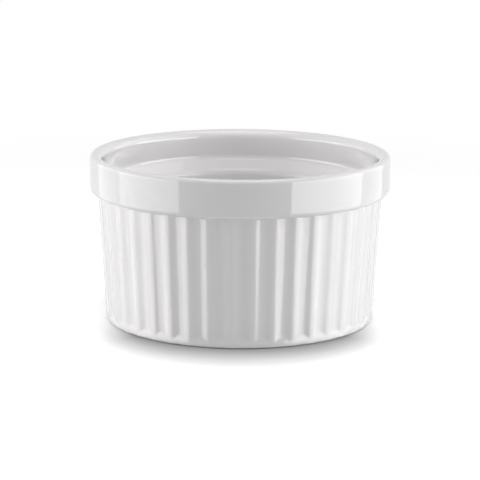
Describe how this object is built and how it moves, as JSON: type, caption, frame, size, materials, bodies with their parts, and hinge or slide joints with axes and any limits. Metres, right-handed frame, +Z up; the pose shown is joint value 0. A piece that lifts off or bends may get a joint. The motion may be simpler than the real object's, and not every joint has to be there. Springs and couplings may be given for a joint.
{
  "type": "ramekin",
  "caption": "Round straight-sided baking dish in white glazed porcelain, with a fluted outer wall, a smooth band round the mouth, a stepped stacking seat inside and a flat foot.",
  "frame": {"origin": "centre of the foot, on the plane it stands on", "axes": "+Z up along the axis of the round dish, out of its mouth; a ridge between two flutes lies on +X"},
  "size_m": [0.09, 0.09, 0.05],
  "materials": {
    "bisque": "unglazed fired porcelain, fine matt, bare only on the foot",
    "glaze": "clear glossy glaze over white porcelain"
  },
  "bodies": {
    "root": {"porcelain_body": "bisque", "glaze_coat": "glaze", "underside_glaze": "glaze"}
  },
  "joints": []
}
